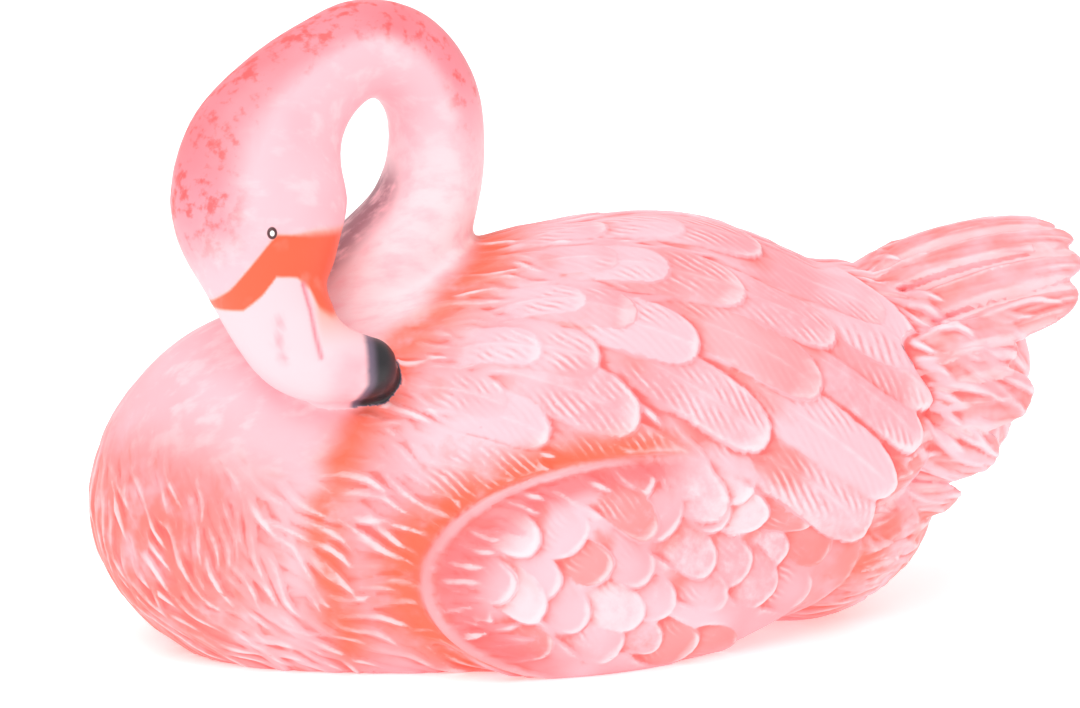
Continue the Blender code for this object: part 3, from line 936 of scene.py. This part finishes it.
def masks(skin):
    """Where each paint goes, as shares from 0 to 1 for each point."""
    points, normals = skin.points, skin.normals
    x, _, z = points.T
    row, radius, outer, facing = neck_place(points, normals)
    neck_part = rise(radius, 1.35, 1.15) * rise(row, 0.8, 1.6) * rise(facing, 0.0, 0.2)
    head = neck_part * rise(row, 9.0, 9.6)
    top = np.interp(x, *np.array(MASK_TOP).T)
    bottom = np.interp(x, *np.array(MASK_BOTTOM).T)
    right = rise(x, -0.060, -0.050)
    face = rise(z, bottom - 0.0012 - 0.004 * right, bottom + 0.0012) * head
    face *= rise(z, top + 0.0015 + 0.0030 * right, top - 0.0010 - 0.0020 * right)
    throat = rise(x, -0.0545, -0.0500) * rise(z, 0.114, 0.130) * rise(z, 0.146, 0.136) * head
    bill = rise(z, bottom + 0.0015, bottom - 0.0015) * head * rise(row, 10.5, 11.2)
    nostril = sum(bell(np.hypot(x - at_x, 0.55 * (z - at_z)), 0.0011) for at_x, at_z in NOSTRILS)
    depth = flank_depth(points)
    front = flank_front(points) * skin.side_face
    hollow = rise(depth, 0.0016, 0.0032) * rise(depth, 0.014, 0.006) * front
    outside = rise(depth, -0.013, -0.003) * rise(depth, 0.001, -0.001) * front
    edge = bell(polyline_gap(points, NECK_EDGE), 0.009)
    ragged_edge = edge_place(z) + 0.0015 * np.sin(z / 0.0021) + 0.0020 * np.sin(z / 0.0047)
    right_of_edge = rise(x, ragged_edge - 0.012, ragged_edge + 0.003)
    raised = skin.lift - skin.softened(skin.lift, 14)
    broad = skin.lift - skin.softened(skin.lift, 60)
    return {
        # How the carving stands out or sinks: raised drives painted highlight, foot and hollows drive
        # painted shade
        "raised": np.clip(0.5 + raised / 0.0013, 0, 1),
        "foot": np.clip((skin.softened(skin.lift, 5) - skin.lift) / 0.0005, 0, 1),
        "hollows": np.clip(0.5 - broad / 0.0030, 0, 1),
        "root": skin.root * (1 - neck_part),
        "tip": skin.tip * (1 - neck_part),
        "stroke": skin.stroke,
        "stroked": skin.stroked * (1 - neck_part) * skin.seamless(),
        "tail": skin.tail,
        "tone": skin.tone,
        "rim": bell(depth - RIM_WIDTH / 2, RIM_WIDTH) * front,
        "neck": np.maximum(neck_part, smoothness(points)),
        "loop": neck_part,
        "loop_foot": neck_part * rise(row, 5.0, 3.0) * rise(facing, 0.2, 0.6),
        "band": neck_part * rise(outer, 0.10, 0.55) * rise(row, 3.6, 5.6) * rise(row, 12.0, 10.8),
        "inner": neck_part * rise(outer, -0.60, -0.90) * rise(row, 3.9, 3.0) * rise(row, 0.8, 1.2),
        "face": face,
        "throat": throat,
        "bill": bill,
        "bill_shade": bill * rise(x, -0.054, -0.041) * rise(z, 0.120, 0.108),
        "mouth": bell(polyline_gap(points, MOUTH), 0.0008) * head,
        "nostril": nostril * head,
        "bill_tip": bill_tip(points, row, facing),
        "coral_rim": hollow,
        "orange": np.maximum(outside, edge * right_of_edge * (1 - head)),
        "breast": rise(x, -0.040, -0.105) * rise(z, 0.095, 0.050),
        "flank": rise(depth, 0.004, 0.010) * skin.side_face * rise(skin.tail, 0.1, 0.0),
        "rump": rise(x, 0.105, 0.140) * rise(z, 0.055, 0.030),
    }


def paint_edges(skin, painted):
    """1 where the paint of the head changes from one colour to the next."""
    change = sum(
        np.abs(painted[name] - skin.softened(painted[name], 4))
        for name in ("face", "bill", "bill_tip", "mouth")
    )
    return rise(skin.softened(change, 4), 0.002, 0.010)


def simplified(obj, triangles, fine):
    """Fewer triangles, kept where the form turns most and where the paint needs them."""
    group = obj.vertex_groups.new(name="fine")
    for i in np.flatnonzero(fine > 0.5):
        group.add([int(i)], 1.0, "REPLACE")
    count = sum(len(f.vertices) - 2 for f in obj.data.polygons)
    decimate = obj.modifiers.new("Fewer triangles", "DECIMATE")
    decimate.ratio = triangles / count
    decimate.vertex_group = group.name
    decimate.invert_vertex_group = True
    return baked(obj)


def stand_flat(obj):
    """Cuts the form off at the ground and closes it with one flat face."""
    bm = bmesh.new()
    bm.from_mesh(obj.data)
    geometry = bm.verts[:] + bm.edges[:] + bm.faces[:]
    cut = bmesh.ops.bisect_plane(
        bm, geom=geometry, plane_co=(0, 0, 0), plane_no=(0, 0, -1), clear_outer=True
    )
    rim = [e for e in cut["geom_cut"] if isinstance(e, bmesh.types.BMEdge)]
    bmesh.ops.contextual_create(bm, geom=rim)
    bmesh.ops.recalc_face_normals(bm, faces=bm.faces)
    bm.to_mesh(obj.data)
    bm.free()


def statue():
    """The carved piece, with a mask for each paint stored on its points."""
    parts = [trunk(), neck(), rump(), stern(), wing(-1), wing(1), flank(-1), flank(1)]
    core = joined("core", parts, FORM_CELL, JOIN_SMOOTHING)
    body = lookup(core)
    leaves = [leaf(root, tip, outward) for root, tip, outward, _ in tail_places()]
    cell = RELIEF_CELL * 1.0
    obj = joined("flamingo_statue", [core, *leaves], cell, 1)
    skin = carve(obj, body)
    features(skin)
    outwards = np.stack([skin.softened(axis, NORMAL_SOFTENING) for axis in skin.normals.T], axis=1)
    outwards /= np.linalg.norm(outwards, axis=1)[:, None]
    obj.data.vertices.foreach_set("co", (skin.points + outwards * skin.lift[:, None]).ravel())
    painted = masks(skin)
    for name, values in painted.items():
        layer = obj.data.attributes.new(name, "FLOAT", "POINT")
        layer.data.foreach_set("value", values)
    simplified(obj, TRIANGLES / (1.0), paint_edges(skin, painted))
    stand_flat(obj)
    obj.data.shade_smooth()
    return obj


def linear(red, green, blue):
    """A colour given as 0 to 255 shares on a screen, as the shader wants it."""
    shares = np.array([red, green, blue]) / 255
    return (*np.where(shares <= 0.04045, shares / 12.92, ((shares + 0.055) / 1.055) ** 2.4), 1.0)


class Paint:
    """Builds up a material: layers of colour, one over the other, each through its mask."""

    def __init__(self, name, ground):
        self.material = bpy.data.materials.new(name)
        self.material.use_nodes = True
        self.tree = self.material.node_tree
        self.place = self.node("TexCoord", {})["Object"]
        self.colour = ground

    def put(self, value, socket):
        """Links a socket, or sets a plain value."""
        if isinstance(value, bpy.types.NodeSocket):
            self.tree.links.new(value, socket)
        else:
            socket.default_value = value

    def node(self, kind, inputs, **settings):
        """The outputs of a new node with these settings and a value or link for each input."""
        node = self.tree.nodes.new("ShaderNode" + kind)
        for name, value in settings.items():
            setattr(node, name, value)
        for name, value in inputs.items():
            self.put(value, node.inputs[name])
        return node.outputs

    def math(self, kind, *values):
        return self.node("Math", dict(enumerate(values)), operation=kind)[0]

    def plus(self, first, second, share=1.0):
        """One pattern with a share of another added to it."""
        return self.math("MULTIPLY_ADD", second, share, first)

    def product(self, *shares):
        """The shares multiplied with each other; a word stands for the mask of that name."""
        total = 1.0
        for share in shares:
            share = self.mask(share) if isinstance(share, str) else share
            total = share if total == 1.0 else self.math("MULTIPLY", total, share)
        return total

    def step(self, value, low, high):
        """0 below low and 1 above high, with a smooth rise between."""
        inputs = {"Value": value, "From Min": low, "From Max": high}
        return self.node("MapRange", inputs, interpolation_type="SMOOTHSTEP")["Result"]

    def mask(self, name):
        return self.node("Attribute", {}, attribute_name=name)["Fac"]

    def noise(self, size, detail=3.0, stretch=(1, 1, 1), seed=0.0):
        """Cloudy noise whose clouds measure about size metres, longer where stretch is greater."""
        shrunk = [1 / s for s in stretch]
        moved = {"Vector": self.place, "Scale": shrunk, "Location": (seed, seed, seed)}
        place = self.node("Mapping", moved)["Vector"]
        clouds = {"Vector": place, "Scale": 1 / size, "Detail": detail, "Roughness": 0.55}
        return self.node("TexNoise", clouds)["Fac"]

    def lay(self, colour, *shares):
        """Lays a colour over the others, through the product of the shares."""
        inputs = {"Factor": self.product(*shares), "A": self.colour, "B": colour}
        self.colour = self.node("Mix", inputs, data_type="RGBA")["Result"]

    def finish(self, inputs):
        """Sets what the shader needs and returns the material."""
        shader = self.tree.nodes["Principled BSDF"]
        for name, value in inputs.items():
            self.put(value, shader.inputs[name])
        return self.material


PALE_PINK = linear(249, 192, 202)
BODY_PINK = linear(248, 160, 168)
CORAL = linear(247, 112, 102)
CORAL_RED = linear(241, 88, 88)
ORANGE = linear(250, 96, 62)
# Pale pink of dry-brushed paint, also used as painted highlight on raised relief and barb ridges
RUBBED_AND_HIGHLIGHT = linear(254, 222, 227)
ROSE = linear(247, 138, 152)
MAUVE = linear(150, 88, 104)
BILL_PALE = linear(252, 204, 211)
PEACH = linear(254, 168, 150)
BILL_GREY = linear(110, 92, 112)
BILL_BLACK = linear(26, 22, 28)
EYE_BROWN = linear(84, 42, 46)
WHITE = linear(255, 252, 250)


def painted_resin():
    """Hand-painted resin: pink, coral in the hollows, rubbed bright on what stands out; the coral in
    the hollows is partly painted shade, and the rubbed bright is partly painted highlight.
    """
    paint = Paint("painted_resin", BODY_PINK)
    lay, step, plus, product = paint.lay, paint.step, paint.plus, paint.product
    fine = paint.noise(0.004, detail=4)
    mid = paint.noise(0.016, seed=3.1)
    broad = paint.noise(0.050, detail=2, seed=7.7)
    brushed = paint.noise(0.0045, detail=4, stretch=(3.2, 1.0, 1.4), seed=1.3)
    stroke = paint.math("COSINE", product("stroke", 2 * math.pi))
    stroked = product("stroked", step(plus(mid, fine), 0.75, 1.15))
    raised = paint.mask("raised")
    neck = paint.mask("neck")
    plumage = paint.math("SUBTRACT", 1.0, neck)

    # Ground colours of body, neck and head
    lay(PALE_PINK, step(broad, 0.38, 0.66))
    lay(PALE_PINK, neck, 0.45)
    lay(PALE_PINK, "loop", 0.80)
    lay(RUBBED_AND_HIGHLIGHT, "loop_foot", step(brushed, 0.15, 0.60))
    lay(ROSE, neck, step(broad, 0.5, 0.7), 0.25)
    lay(RUBBED_AND_HIGHLIGHT, neck, step(plus(product(brushed, 0.7), mid, 0.5), 0.58, 0.76), 0.40)

    # Feathers, each with its own tone, and coral where they spring
    tone = plus(paint.mask("tone"), fine, 0.5)
    lay(PALE_PINK, step(tone, 0.80, 1.15), plumage, 0.85)
    lay(CORAL, step(tone, 0.55, 0.30), plumage, 0.30)
    lay(CORAL, "tail", step(mid, 0.3, 0.65), 0.55)
    lay(CORAL, "breast", step(mid, 0.22, 0.54), 0.95)
    lay(CORAL, step(plus(paint.mask("root"), mid, 0.5), 0.45, 1.0), plumage, 0.68)
    lay(RUBBED_AND_HIGHLIGHT, step(tone, 0.85, 1.20), "flank", 0.55)
    lay(CORAL, step(tone, 0.62, 0.36), "flank", 0.45)

    # Coral and orange zones, and coral left in the hollows: partly paint settled there, partly painted
    # shade in the hollows and at the foot of raised relief
    lay(CORAL, step(plus(paint.mask("hollows"), mid, 0.25), 0.62, 0.95), plumage, 0.75)
    # Painted shade: coral red where the relief sinks below its neighbours
    lay(CORAL_RED, step(raised, 0.44, 0.18), plumage, 0.55)
    # Painted shade: coral red line at the foot of each raised stroke and feather edge
    lay(CORAL_RED, "foot", plumage, 0.55)
    lay(ORANGE, "orange", step(plus(mid, brushed, 0.4), 0.30, 0.70), 0.95)
    lay(CORAL_RED, "coral_rim", 0.75)
    lay(CORAL, "rim", 0.35)
    lay(ORANGE, "rump", step(mid, 0.3, 0.6), 0.55)

    # Barbs with painted shade in their grooves and painted highlight on their ridges, and what stands
    # out rubbed bright: partly dry-brushed paint, partly painted highlight
    lines = product(stroked, plumage)
    # Coral red in each barb's groove is painted shade; the pale on each ridge is painted highlight
    lay(CORAL_RED, lines, step(stroke, 0.1, 0.95), 0.40)
    lay(RUBBED_AND_HIGHLIGHT, lines, step(stroke, -0.1, -0.95), 0.45)
    inside_rim = paint.math("SUBTRACT", 1.0, paint.mask("rim"))
    # Painted highlight, together with dry-brushed paint, on what stands out of the relief
    lay(RUBBED_AND_HIGHLIGHT, step(plus(raised, brushed, 0.3), 0.68, 0.98), plumage, inside_rim, 0.70)
    lay(RUBBED_AND_HIGHLIGHT, step(plus(paint.mask("tip"), brushed, 0.6), 0.75, 1.25), plumage, 0.45)

    # Band with its spots round the outside of the neck, and the shaded inside of the loop
    band = paint.mask("band")
    spots = step(plus(product(fine, 0.9), mid, 0.5), 0.70, 0.90)
    lay(ROSE, band, 0.85)
    lay(CORAL_RED, band, step(broad, 0.2, 0.7), 0.50)
    lay(CORAL_RED, band, spots, 0.95)
    lay(MAUVE, "inner", step(brushed, 0.25, 0.6), 0.85)

    # Bill, face and eye
    streaks = paint.noise(0.0030, detail=2, stretch=(1, 1, 2.5), seed=5.0)
    face = paint.mask("face")
    tip = paint.mask("bill_tip")
    eye = eye_rings(paint)
    lay(BILL_PALE, step(plus(paint.mask("bill"), streaks, 0.35), 0.35, 0.80))
    lay(ROSE, "bill_shade", step(mid, 0.2, 0.6), 0.50)
    lay(PEACH, "throat", 0.80)
    lay(PEACH, step(face, 0.0, 0.45), 0.80)
    lay(ORANGE, step(plus(face, streaks, 0.20), 0.25, 0.95), step(mid, 0.05, 0.38))
    lay(ROSE, "nostril", 0.80)
    lay(ROSE, "mouth", 0.90)
    lay(BILL_GREY, step(tip, 0.10, 0.45))
    lay(BILL_BLACK, step(tip, 0.40, 0.85))
    lay(EYE_BROWN, step(eye, 1.15, 0.95))
    lay(WHITE, step(eye, 0.55, 0.40))

    roughness = paint.node("MapRange", {"Value": fine, "To Min": 0.36, "To Max": 0.52})["Result"]
    grain = paint.math("SUBTRACT", brushed, product(stroke, stroked, 0.6))
    bump = paint.node("Bump", {"Strength": 0.35, "Distance": 0.0004, "Height": grain})["Normal"]
    return paint.finish({
        "Base Color": paint.colour,
        "Roughness": roughness,
        "Metallic": 0.0,
        "Specular IOR Level": 0.5,
        "Coat Weight": 0.15,
        "Coat Roughness": 0.3,
        "Normal": bump,
    })


def eye_rings(paint):
    """Distance from the middle of the eye, seen from the side: 1 at its edge, far away off the head."""
    split = paint.node("SeparateXYZ", {0: paint.place})
    squares = []
    for axis, middle, size in zip("XZ", EYE, EYE_SIZE):
        offset = paint.math("DIVIDE", paint.math("SUBTRACT", split[axis], middle), size)
        squares.append(paint.math("POWER", offset, 2.0))
    return paint.math("SQRT", paint.math("ADD", *squares))


def floor():
    """A wide pale floor."""
    bm = bmesh.new()
    bmesh.ops.create_grid(bm, x_segments=8, y_segments=8, size=6.0)
    obj = object_from(bm, "floor")
    obj.location.z = -0.0002
    white = Paint("floor_white", linear(253, 253, 253))
    looks = {"Base Color": white.colour, "Roughness": 0.6}
    looks |= {"Emission Color": WHITE, "Emission Strength": FLOOR_GLOW}
    obj.data.materials.append(white.finish(looks))


def studio():
    """Bright, soft light from all round, with a broad key light from above left."""
    scene = bpy.context.scene
    world = bpy.data.worlds.new("studio")
    world.use_nodes = True
    background = world.node_tree.nodes["Background"]
    background.inputs["Color"].default_value = (1, 1, 1, 1)
    background.inputs["Strength"].default_value = SKY_STRENGTH
    scene.world = world
    scene.view_settings.view_transform = "Standard"
    key = bpy.data.lights.new("key", "SUN")
    key.energy = KEY_STRENGTH
    key.angle = KEY_SPREAD
    obj = placed("key", key)
    obj.rotation_euler = Vector(KEY_HEADING).to_track_quat("-Z", "Y").to_euler()


def camera():
    """The photo's view: from the bird's left, a little to the front and above."""
    turn, up_angle = CAMERA_TURN, CAMERA_RISE
    right = Vector((math.cos(turn), math.sin(turn), 0))
    level = math.cos(up_angle)
    back = Vector((math.sin(turn) * level, -math.cos(turn) * level, math.sin(up_angle)))
    up = back.cross(right)
    target = right * (PHOTO_SIZE[0] / 2 - ORIGIN_PIXEL[0]) * PIXEL
    target += up * (ORIGIN_PIXEL[1] - PHOTO_SIZE[1] / 2) * PIXEL
    lens = bpy.data.cameras.new("camera")
    lens.lens = CAMERA_LENS
    lens.sensor_width = SENSOR_WIDTH
    obj = placed("camera", lens)
    obj.location = target + back * (PIXEL * PHOTO_SIZE[0] * CAMERA_LENS / SENSOR_WIDTH)
    obj.rotation_euler = (-back).to_track_quat("-Z", "Y").to_euler()
    bpy.context.scene.camera = obj


def main():
    piece = statue()
    piece.data.materials.append(painted_resin())
    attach(piece, "root")
    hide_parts("flamingo")
    floor()
    studio()
    camera()


main()
